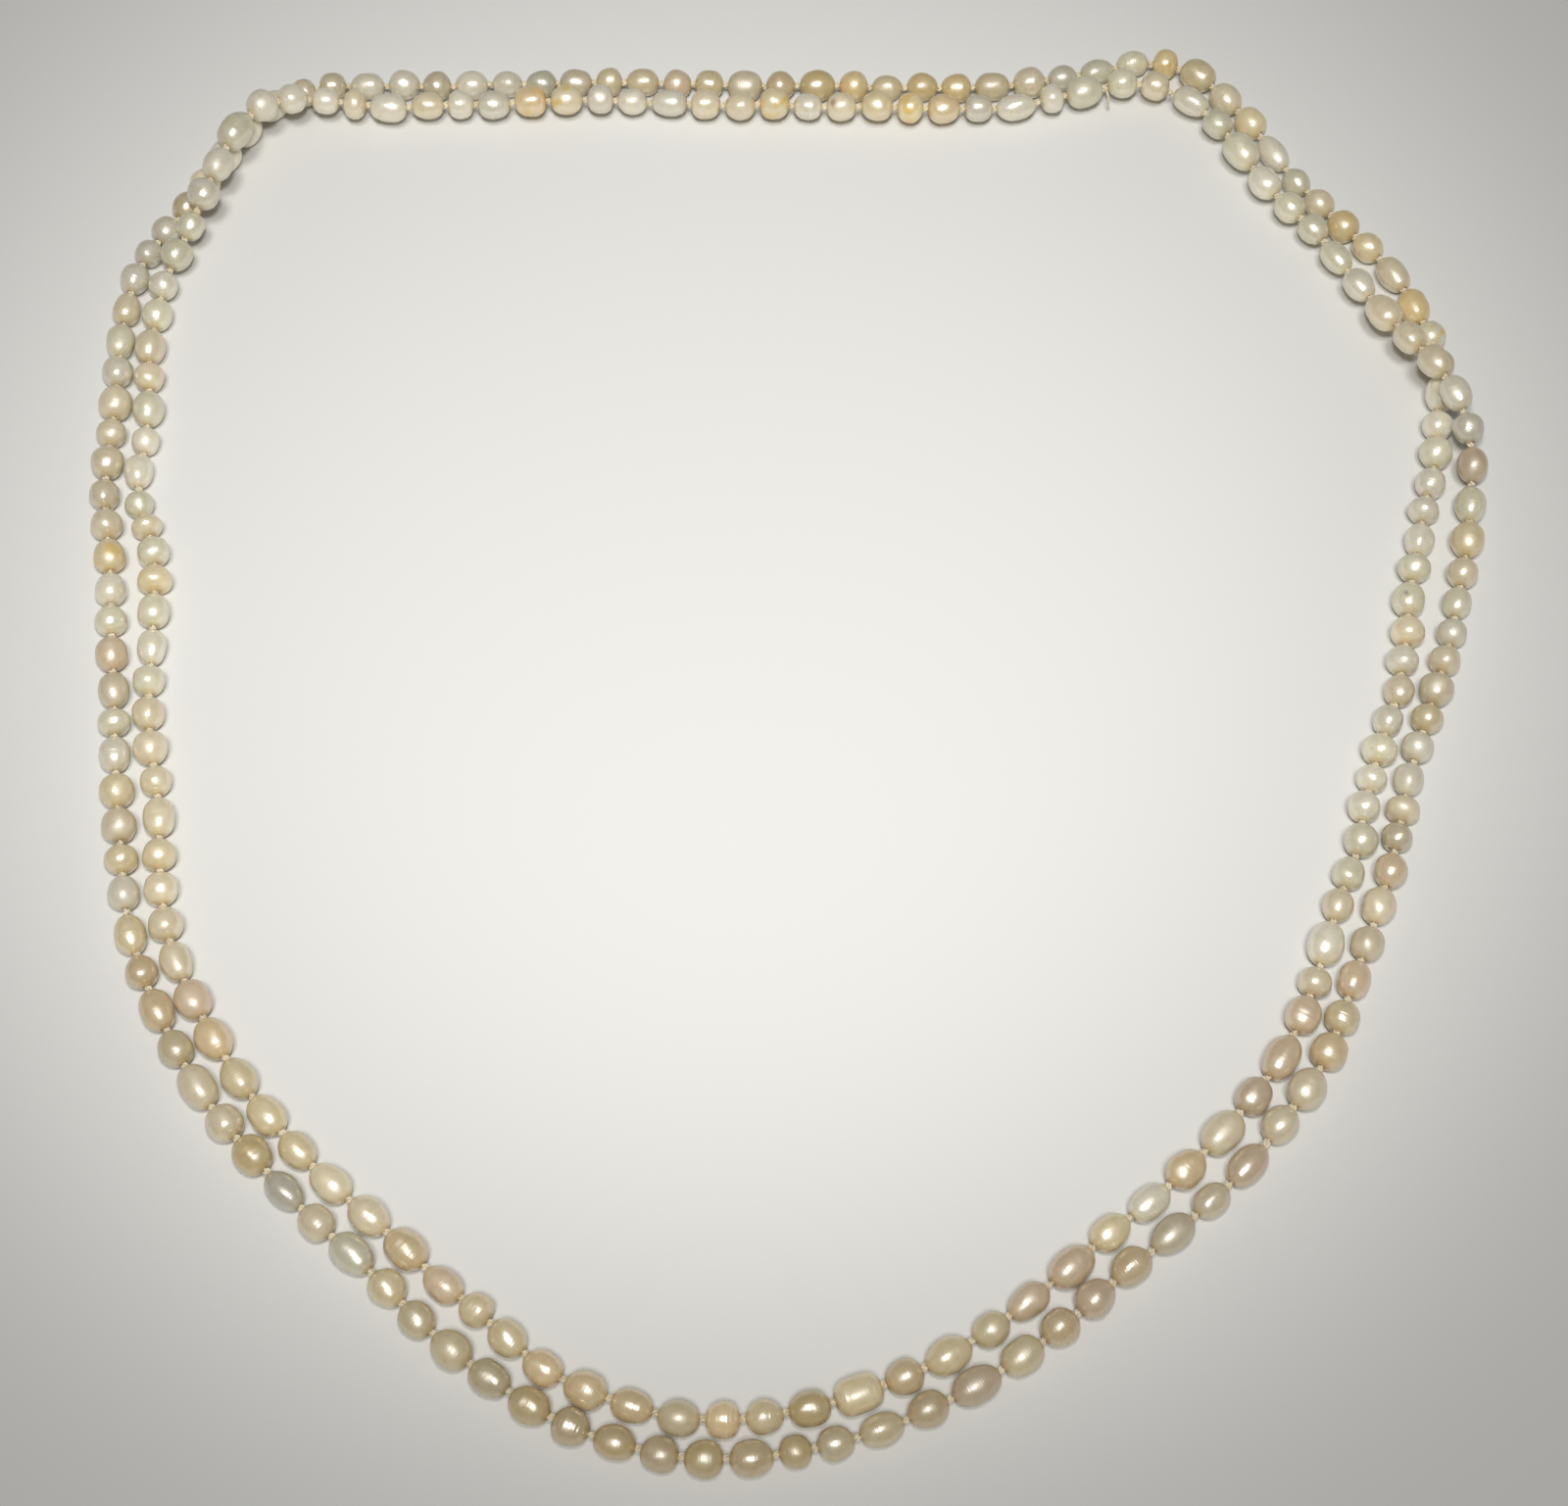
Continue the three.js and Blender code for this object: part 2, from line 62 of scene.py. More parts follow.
# ---- tables ------------------------------------------------------------------
# Pearls in rope order: x, y, z, half length along the drill hole, radius (mm),
# 1 if it lies flat, and a code: tint family, depth of tone 0..9, form.
PEARLS = [
    (109.9,57.08,7.688,3.07,2.63,0,"c4o"), (112.84,50.7,7.48,3.2,2.49,0,"w6o"), (114.52,44.58,5.896,2.59,2.63,0,"w3o"),
    (114.93,38.49,3.894,3.13,2.63,0,"p0o"), (114,31.35,2.63,3.35,2.63,1,"n6o"), (112.68,24.23,2.786,3.23,2.79,1,"y5o"),
    (111.13,17.82,2.602,2.55,2.6,1,"c5o"), (109.59,12.13,2.393,2.72,2.39,1,"n6o"), (108.06,6.32,2.51,2.43,2.51,1,"w5o"),
    (106.38,1.13,2.63,2.41,2.63,1,"c5o"), (104.19,-4.48,2.808,2.75,2.81,1,"c3o"), (102.15,-9.82,2.641,2.32,2.64,1,"y3o"),
    (100.12,-15.02,2.627,2.46,2.63,1,"w6o"), (98.11,-20.69,2.421,2.9,2.42,1,"w6o"), (96.55,-26.29,2.767,2.1,2.77,1,"c6o"),
    (95.18,-31.07,2.481,2.25,2.48,1,"c1o"), (93.51,-36.96,2.63,2.86,2.63,1,"p3o"), (91.08,-43.04,2.671,3.07,2.67,1,"c7o"),
    (88.72,-49.38,2.59,2.75,2.59,1,"c4o"), (86.11,-55.31,2.498,3.11,2.5,1,"p4o"), (83.67,-61.64,2.668,2.64,2.67,1,"y4r"),
    (81.17,-67.21,2.784,2.84,2.78,1,"r3o"), (77.26,-73.33,2.866,3.37,2.87,1,"c5o"), (72.84,-78.92,2.707,3.12,2.71,1,"c5o"),
    (67.55,-85.19,2.526,3.8,2.53,1,"p1o"), (61.87,-90.63,2.393,3.05,2.39,1,"c3o"), (55.86,-95.7,2.541,3.8,2.54,1,"c1o"),
    (49.51,-100.72,2.63,3.29,2.63,1,"r1o"), (44.07,-105.39,2.675,3.14,2.68,1,"p1o"), (38.79,-109.73,2.69,2.89,2.69,1,"r1o"),
    (33.3,-113.88,2.63,3.28,2.63,1,"y3o"), (26.61,-118.13,2.67,3.8,2.67,1,"p0o"), (19.73,-121.51,2.597,3.07,2.6,1,"r0o"),
    (13.2,-124.31,2.393,3.28,2.39,1,"y3o"), (6.72,-126.27,2.493,2.67,2.49,1,"y2o"), (1.08,-127.41,2.448,2.36,2.45,1,"g0o"),
    (-5.08,-128.41,2.701,3.1,2.7,1,"r1o"), (-11.72,-128.59,2.727,2.77,2.73,1,"g0o"), (-17.89,-127.89,2.575,2.7,2.57,1,"r0o"),
    (-24.23,-126.23,2.561,3.08,2.56,1,"g0o"), (-30.43,-124.02,2.74,2.73,2.74,1,"r0r"), (-36.33,-121.06,2.691,3.14,2.69,1,"g0o"),
    (-42.19,-117.1,2.584,3.1,2.58,1,"y0o"), (-47.83,-112.97,2.737,3.17,2.74,1,"y3o"), (-53,-108.52,2.619,2.81,2.62,1,"y2o"),
    (-57.53,-103.88,2.63,3,2.63,1,"y5o"), (-63,-98.75,2.616,3.66,2.62,1,"n4o"), (-68.5,-94.01,2.63,2.86,2.63,1,"c5o"),
    (-73.66,-89.08,2.393,3.52,2.39,1,"w1o"), (-78.78,-83.63,2.755,3.14,2.76,1,"g1o"), (-83.32,-78.71,2.844,2.83,2.84,1,"c5o"),
    (-87.85,-72.96,2.705,3.7,2.7,1,"c5o"), (-91.83,-66.66,2.63,2.95,2.63,1,"y1o"), (-95.29,-60.44,2.63,3.48,2.63,1,"r2o"),
    (-98.31,-54.07,2.524,2.69,2.52,1,"r1o"), (-100.76,-47.77,2.511,3.45,2.51,1,"y5o"), (-102.58,-40.72,2.528,2.83,2.53,1,"w6o"),
    (-103.51,-35.02,2.715,2.33,2.72,1,"y5o"), (-104.56,-29.08,2.742,2.74,2.74,1,"c4o"), (-105.59,-22.97,2.799,2.83,2.8,1,"y5o"),
    (-106.75,-16.26,2.521,3,2.52,1,"w7o"), (-107.44,-10.52,2.677,2.15,2.68,1,"n7o"), (-108.26,-4.53,2.548,3.14,2.55,1,"c3o"),
    (-109.34,2.27,2.621,3.02,2.62,1,"p3o"), (-110.23,8.62,2.643,2.58,2.64,1,"n8o"), (-110.94,14.66,2.528,2.81,2.53,1,"w9o"),
    (-111.88,21.17,2.639,2.94,2.64,1,"y5s"), (-113.12,27.37,2.673,2.67,2.67,1,"c5o"), (-114.21,33.46,2.504,2.7,2.5,1,"c3o"),
    (-114.35,39.73,2.783,2.85,2.78,1,"c4o"), (-114.46,45.87,2.573,2.48,2.57,1,"c5o"), (-114.41,51.98,2.867,2.97,2.87,1,"c6o"),
    (-114.8,58.6,2.681,2.78,2.68,1,"w6o"), (-115.13,65.2,2.468,3.19,2.47,1,"n6o"), (-114.84,72.31,2.393,3.02,2.39,1,"c5o"),
    (-114.14,78.77,2.63,2.85,2.63,1,"w5o"), (-112.34,84.65,2.393,2.37,2.39,1,"w3o"), (-109.73,89.51,2.583,2.52,2.58,1,"w3o"),
    (-106.55,94.85,2.673,2.75,2.67,1,"y0o"), (-103.87,100.26,2.772,2.67,2.77,1,"c8o"), (-100.98,106.42,2.867,3.22,2.87,1,"w9o"),
    (-97.82,112.61,2.867,3.09,2.87,1,"w9o"), (-93.5,118.64,2.63,3.43,2.63,1,"w7o"), (-87.99,121.69,2.63,2.2,2.63,1,"c3o"),
    (-82.88,123.23,2.581,2.42,2.58,1,"c2o"), (-76.58,123.37,2.46,3.1,2.46,1,"w6o"), (-69.84,123.4,2.753,2.81,2.75,1,"w6o"),
    (-63.79,122.96,2.741,2.53,2.74,1,"c1o"), (-57.53,123.49,2.63,2.95,2.63,1,"w7o"), (-51.09,123.91,2.393,2.75,2.39,1,"w5o"),
    (-44.88,123.99,2.393,2.7,2.39,1,"n0o"), (-38.53,124.09,2.519,2.9,2.52,1,"c1o"), (-32.44,124.21,2.631,2.4,2.63,1,"y2o"),
    (-26.35,124.21,2.556,3,2.56,1,"y2o"), (-19.97,123.65,2.665,2.56,2.67,1,"p2o"), (-14.18,123.7,2.595,2.6,2.6,1,"y2o"),
    (-7.64,123.08,2.867,3.14,2.87,1,"c2o"), (-1.14,123.19,2.664,2.68,2.66,1,"r0o"), (5.57,123.12,2.867,3.26,2.87,1,"g0o"),
    (12.16,123.06,2.867,2.6,2.87,1,"g3o"), (18.28,123.04,2.393,2.83,2.39,1,"y2o"), (24.69,123.06,2.597,2.82,2.6,1,"g1o"),
    (30.9,122.75,2.663,2.72,2.66,1,"g2o"), (37.48,123.19,2.586,3.15,2.59,1,"y1o"), (44.24,123.78,2.867,2.93,2.87,1,"c4o"),
    (50.42,125.36,2.393,2.7,2.39,1,"w2o"), (56.87,126.74,2.402,3.16,2.4,1,"n3o"), (63.44,128.83,2.393,2.93,2.39,1,"n7o"),
    (69.41,128.34,2.834,2.27,2.83,1,"g5s"), (75.21,125.63,2.867,3.31,2.87,1,"y3o"), (79.86,119.91,2.739,3.15,2.74,1,"c6o"),
    (83.92,114.27,2.733,3.03,2.73,1,"y7o"), (87.47,107.34,2.393,3.8,2.39,1,"w7o"), (91.11,100.82,2.393,2.71,2.39,1,"n4o"),
    (94.62,95.68,2.63,2.8,2.63,1,"c5o"), (98.37,90.46,2.835,2.76,2.83,1,"g3o"), (102.36,85.79,2.576,2.71,2.58,1,"y6o"),
    (106.18,79.86,2.509,3.53,2.51,1,"c5o"), (108.98,72.73,2.642,3.37,2.64,1,"g5o"), (111.23,66.34,2.618,2.6,2.62,1,"n7s"),
    (112.31,60.66,2.406,2.49,2.41,1,"r0o"), (111.61,54.03,2.63,3.39,2.63,1,"w9o"), (110.29,47.45,2.63,2.5,2.63,1,"w9o"),
    (109.3,41.57,2.867,2.75,2.87,1,"n7o"), (107.8,35.57,2.63,2.6,2.63,1,"w7o"), (106.06,30.23,2.63,2.32,2.63,1,"w6o"),
    (104.76,24.37,2.474,2.88,2.47,1,"w8o"), (103.15,18.58,2.75,2.38,2.75,1,"n6o"), (101.69,12.68,2.699,2.96,2.7,1,"n7t"),
    (100.85,6.48,2.808,2.48,2.81,1,"c8o"), (99.46,1.1,2.63,2.39,2.63,1,"w7o"), (98.36,-4.59,2.504,2.6,2.5,1,"c4o"),
    (96.03,-10.02,2.437,2.61,2.44,1,"w6o"), (94.02,-15.56,2.867,2.48,2.87,1,"n9o"), (92.26,-20.6,2.526,2.2,2.53,1,"w9o"),
    (90.5,-25.76,2.63,2.51,2.63,1,"w8o"), (89.44,-31.64,2.756,2.74,2.76,1,"n5o"), (87.06,-37.27,2.512,2.6,2.51,1,"n6o"),
    (84.84,-42.82,2.448,2.69,2.45,1,"c5o"), (82.32,-49.46,2.867,3.64,2.87,1,"w9o"), (80.11,-55.84,2.63,2.31,2.63,1,"c5o"),
    (77.79,-61.32,2.731,3.01,2.73,1,"p3r"), (74.01,-68.2,2.597,3.8,2.6,1,"p2o"), (69.31,-74.35,2.63,3.05,2.63,1,"p0o"),
    (64.25,-80.25,2.757,3.8,2.76,1,"c5o"), (58.4,-85.92,2.696,3.35,2.7,1,"r3o"), (52.79,-90.91,2.415,3.49,2.41,1,"w8o"),
    (46.77,-95.54,2.582,3.28,2.58,1,"y6o"), (40.93,-100.7,2.692,3.8,2.69,1,"p2o"), (34.52,-105.8,2.393,3.38,2.39,1,"p2o"),
    (29.05,-109.97,2.504,2.88,2.5,1,"y3o"), (22.81,-113.81,2.679,3.59,2.68,1,"y5o"), (16.5,-116.91,2.63,2.77,2.63,1,"r2o"),
    (9.97,-119.42,2.823,3.47,2.82,1,"y7b"), (3.07,-121.48,2.63,2.99,2.63,1,"g0o"), (-3.25,-122.56,2.552,2.71,2.55,1,"y5o"),
    (-9.14,-123.07,2.743,2.47,2.74,1,"r7r"), (-15.32,-122.81,2.63,3.02,2.63,1,"y3o"), (-21.95,-121,2.429,3.06,2.43,1,"r3o"),
    (-28.49,-118.76,2.709,3.17,2.71,1,"r4o"), (-34.7,-115.55,2.514,3.02,2.51,1,"r5o"), (-39.9,-111.31,2.62,3.02,2.62,1,"y5o"),
    (-44.57,-107.16,2.64,2.4,2.64,1,"y5r"), (-49.55,-103.32,2.452,3.27,2.45,1,"p4o"), (-55.22,-98.12,2.783,3.52,2.78,1,"r3r"),
    (-60.94,-93.07,2.681,3.49,2.68,1,"c7k"), (-66.94,-87.95,2.568,3.49,2.57,1,"c8o"), (-72.2,-82.92,2.528,3.17,2.53,1,"y5o"),
    (-77.19,-77.35,2.617,3.44,2.62,1,"y6o"), (-81.91,-71.5,2.63,3.45,2.63,1,"y4o"), (-86.29,-65.08,2.696,3.47,2.7,1,"r4o"),
    (-89.96,-58.8,2.72,3.15,2.72,1,"p3o"), (-93.22,-52.33,2.405,3.27,2.41,1,"c6o"), (-95.48,-46.09,2.698,2.7,2.7,1,"c6o"),
    (-96.85,-40.09,2.712,2.68,2.71,1,"c8o"), (-97.81,-34.17,2.722,2.64,2.72,1,"y6o"), (-98.53,-27.48,2.52,3.34,2.52,1,"c7o"),
    (-99.68,-21.03,2.533,2.45,2.53,1,"c7o"), (-101.15,-15.2,2.81,2.89,2.81,1,"c7o"), (-102.22,-8.75,2.588,2.83,2.59,1,"c6o"),
    (-102.74,-2.77,2.63,2.51,2.63,1,"n8o"), (-103.04,3.66,2.393,3.16,2.39,1,"w9o"), (-103.4,10.47,2.665,2.93,2.66,1,"n8o"),
    (-103.88,16.42,2.867,2.28,2.87,1,"y7o"), (-104.78,21.97,2.713,2.51,2.71,1,"n7o"), (-106.32,26.91,2.64,1.9,2.64,1,"c6o"),
    (-108.18,31.5,2.393,2.43,2.39,1,"n5o"), (-109.02,38.22,2.393,3.14,2.39,1,"w9o"), (-108.47,44.33,2.393,2.38,2.39,1,"w9o"),
    (-108.69,50.93,2.67,3.39,2.67,1,"n6o"), (-109.28,57.5,2.63,2.5,2.63,1,"c7o"), (-109.83,63.96,2.656,3.25,2.66,1,"c5o"),
    (-109.3,70.92,2.673,2.95,2.67,1,"n8o"), (-108.86,77.12,2.939,2.58,2.56,0,"w7o"), (-107.03,82.94,4.142,2.82,2.83,0,"n4o"),
    (-104.81,88.37,5.323,2.52,2.42,0,"n5o"), (-102.81,93.88,7.365,2.81,2.87,0,"w4r"), (-100.67,100.3,7.831,3.25,2.63,0,"w6o"),
    (-98.18,107.64,8.324,3.78,2.87,0,"n4r"), (-94.17,113.72,8.012,2.73,2.87,0,"w7o"), (-89.11,116.68,6.612,2.62,2.69,0,"w8o"),
    (-83.45,117.75,4.777,2.48,2.42,0,"w9o"), (-78.25,117.55,4.287,2.12,2.83,0,"c7o"), (-72.12,116.82,3.991,3.35,2.6,0,"w8o"),
    (-65.09,117.48,3.829,2.95,2.48,0,"c6o"), (-59.09,117.67,3.941,2.37,2.63,0,"w8o"), (-53.07,117.6,3.832,2.93,2.54,0,"w5o"),
    (-46.54,118.34,4.146,2.89,2.87,0,"r5s"), (-39.99,118.71,3.97,2.96,2.69,0,"c6s"), (-33.87,118.94,3.979,2.39,2.69,0,"w5o"),
    (-28.08,118.59,3.678,2.74,2.4,0,"w7o"), (-21.31,118.22,3.699,3.22,2.43,0,"w5o"), (-14.71,117.71,3.956,2.68,2.68,0,"c6o"),
    (-8.48,117.39,3.857,2.79,2.57,0,"c5o"), (-2.25,117.76,4.174,2.72,2.87,0,"y5s"), (3.81,117.38,3.72,2.59,2.44,0,"w7o"),
    (9.87,117.21,3.887,2.73,2.63,0,"c6h"), (16.29,117.24,4.038,2.9,2.79,0,"y5o"), (22.35,116.78,4.007,2.41,2.76,0,"y7s"),
    (28.42,116.75,3.882,2.91,2.63,0,"r4o"), (34.69,116.92,3.766,2.52,2.5,0,"w4o"), (41.5,117.28,3.691,3.62,2.39,0,"w7o"),
    (48.04,119.03,4.012,2.14,2.68,0,"w8o"), (53.97,120.49,4.203,3.35,2.87,0,"n5o"), (61.03,122.64,4.072,2.78,2.73,0,"n7o"),
    (66.99,122.08,3.939,2.59,2.63,0,"c6o"), (73.37,118.57,3.676,3.54,2.39,0,"w7o"), (77.79,113.21,3.852,2.8,2.58,0,"n4o"),
    (81.44,106.39,4.129,3.8,2.87,0,"n7o"), (85.02,99.42,3.901,3.29,2.63,0,"w9o"), (89,93.74,3.964,2.82,2.68,0,"n7o"),
    (92.83,88.88,3.894,2.76,2.58,0,"n5o"), (96.27,82.7,3.713,3.46,2.39,0,"n6o"), (99.53,76.12,4.348,3.25,2.55,0,"w7o"),
    (102.87,69.26,5.538,3.64,2.79,0,"c6r"), (106.46,62.94,6.709,3.02,2.63,0,"c5o"),
]
# Runs: node, first pearl, number of pearls, body.
RUNS = [
    ("crossing_over", 233, 6, "crossing"),
    ("crossing_under", 118, 6, "crossing"),
    ("outer_01", 3, 4, "outer_01_02"),
    ("outer_02", 7, 4, "outer_01_02"),
    ("outer_03", 11, 5, "outer_03_04"),
    ("outer_04", 16, 4, "outer_03_04"),
    ("outer_05", 20, 4, "outer_05_06"),
    ("outer_06", 24, 4, "outer_05_06"),
    ("outer_07", 28, 5, "outer_07_08"),
    ("outer_08", 33, 4, "outer_07_08"),
    ("outer_09", 37, 4, "outer_09_10"),
    ("outer_10", 41, 4, "outer_09_10"),
    ("outer_11", 45, 5, "outer_11_12"),
    ("outer_12", 50, 4, "outer_11_12"),
    ("outer_28", 114, 4, "outer_27_28"),
    ("outer_27", 110, 4, "outer_27_28"),
    ("outer_26", 106, 4, "outer_25_26"),
    ("outer_25", 102, 4, "outer_25_26"),
    ("outer_24", 98, 4, "outer_23_24"),
    ("outer_23", 94, 4, "outer_23_24"),
    ("outer_22", 90, 4, "outer_21_22"),
    ("outer_21", 86, 4, "outer_21_22"),
    ("outer_20", 82, 4, "outer_19_20"),
    ("outer_19", 78, 4, "outer_19_20"),
    ("outer_18", 74, 4, "outer_17_18"),
    ("outer_17", 70, 4, "outer_17_18"),
    ("outer_16", 66, 4, "outer_15_16"),
    ("outer_15", 62, 4, "outer_15_16"),
    ("outer_14", 58, 4, "outer_13_14"),
    ("outer_13", 54, 4, "outer_13_14"),
    ("inner_01", 124, 4, "inner_01_02"),
    ("inner_02", 128, 4, "inner_01_02"),
    ("inner_03", 132, 4, "inner_03_04"),
    ("inner_04", 136, 4, "inner_03_04"),
    ("inner_05", 140, 4, "inner_05_06"),
    ("inner_06", 144, 3, "inner_05_06"),
    ("inner_07", 147, 4, "inner_07_08"),
    ("inner_08", 151, 4, "inner_07_08"),
    ("inner_09", 155, 4, "inner_09_10"),
    ("inner_10", 159, 4, "inner_09_10"),
    ("inner_11", 163, 4, "inner_11_12"),
    ("inner_12", 167, 4, "inner_11_12"),
    ("inner_28", 229, 4, "inner_27_28"),
    ("inner_27", 225, 4, "inner_27_28"),
    ("inner_26", 221, 4, "inner_25_26"),
    ("inner_25", 218, 3, "inner_25_26"),
    ("inner_24", 214, 4, "inner_23_24"),
    ("inner_23", 210, 4, "inner_23_24"),
    ("inner_22", 206, 4, "inner_21_22"),
    ("inner_21", 202, 4, "inner_21_22"),
    ("inner_20", 198, 4, "inner_19_20"),
    ("inner_19", 194, 4, "inner_19_20"),
    ("inner_18", 190, 4, "inner_17_18"),
    ("inner_17", 187, 3, "inner_17_18"),
    ("inner_16", 183, 4, "inner_15_16"),
    ("inner_15", 179, 4, "inner_15_16"),
    ("inner_14", 175, 4, "inner_13_14"),
    ("inner_13", 171, 4, "inner_13_14"),
]
# Knots that bend: knot index, parent body, child body, 1 if the pearl before the knot is on the parent.
BENDS = [
    (2, "crossing", "outer_01_02", 1),
    (10, "outer_01_02", "outer_03_04", 1),
    (19, "outer_03_04", "outer_05_06", 1),
    (27, "outer_05_06", "outer_07_08", 1),
    (36, "outer_07_08", "outer_09_10", 1),
    (44, "outer_09_10", "outer_11_12", 1),
    (117, "crossing", "outer_27_28", 0),
    (109, "outer_27_28", "outer_25_26", 0),
    (101, "outer_25_26", "outer_23_24", 0),
    (93, "outer_23_24", "outer_21_22", 0),
    (85, "outer_21_22", "outer_19_20", 0),
    (77, "outer_19_20", "outer_17_18", 0),
    (69, "outer_17_18", "outer_15_16", 0),
    (61, "outer_15_16", "outer_13_14", 0),
    (123, "crossing", "inner_01_02", 1),
    (131, "inner_01_02", "inner_03_04", 1),
    (139, "inner_03_04", "inner_05_06", 1),
    (146, "inner_05_06", "inner_07_08", 1),
    (154, "inner_07_08", "inner_09_10", 1),
    (162, "inner_09_10", "inner_11_12", 1),
    (232, "crossing", "inner_27_28", 0),
    (224, "inner_27_28", "inner_25_26", 0),
    (217, "inner_25_26", "inner_23_24", 0),
    (209, "inner_23_24", "inner_21_22", 0),
    (201, "inner_21_22", "inner_19_20", 0),
    (193, "inner_19_20", "inner_17_18", 0),
    (186, "inner_17_18", "inner_15_16", 0),
    (178, "inner_15_16", "inner_13_14", 0),
]
FREE_KNOTS = (53, 170)  # one in each lap: the silk there stays with the pearl before it
CLOSING_KNOT = 223
TAIL = [(58.15, 120.4, 4.22), (58.35, 119.73, 3.72), (58.48, 119.3, 2.57), (58.53, 119.16, 1.32)]
N = len(PEARLS)

# linear colours of the tint families, and of the second tone that drifts over each pearl
TINTS = {
    "c": ((0.790, 0.718, 0.531), (0.798, 0.715, 0.507)),  # cream
    "w": ((0.754, 0.723, 0.591), (0.747, 0.723, 0.615)),  # whiter
    "y": ((0.805, 0.719, 0.475), (0.817, 0.709, 0.442)),  # yellowish
    "g": ((0.855, 0.713, 0.387), (0.872, 0.688, 0.325)),  # golden
    "p": ((0.844, 0.706, 0.492), (0.861, 0.685, 0.482)),  # pinkish
    "n": ((0.756, 0.726, 0.554), (0.737, 0.733, 0.565)),  # greenish
    "r": ((0.851, 0.710, 0.436), (0.868, 0.688, 0.414)),  # peach
}


def wrap(i):
    return i % N


P = np.array([p[:5] for p in PEARLS], float)
LIES = [p[5] for p in PEARLS]


def knot(i):
    a, b = P[wrap(i), :3], P[wrap(i + 1), :3]
    span = np.linalg.norm(b - a)
    al, bl = P[wrap(i), 3], P[wrap(i + 1), 3]
    return a + (b - a) * ((al + (span - al - bl) / 2) / span)


K = np.array([knot(i) for i in range(N)])


def unit(v):
    return v / np.linalg.norm(v)


def drill(i):
    t = K[wrap(i)] - K[wrap(i - 1)]
    if LIES[wrap(i)]:
        t = t * [1, 1, 0]
    return unit(t)


T = np.array([drill(i) for i in range(N)])


def axes(t):
    side = unit(np.cross(t, [0, 0, 1.0]))
    return side, np.cross(side, t)


def nz(x, y, z):
    return noise.noise(Vector((x, y, z)))


def rnd(i, k):
    """A steady value from 0 to 1 for pearl i."""
    v = math.sin(i * 127.1 + k * 311.7 + 17.3) * 43758.5453
    return v - math.floor(v)


# ---- pearls ------------------------------------------------------------------
SEG = 40
ROWS = 34
HOLE = 0.33


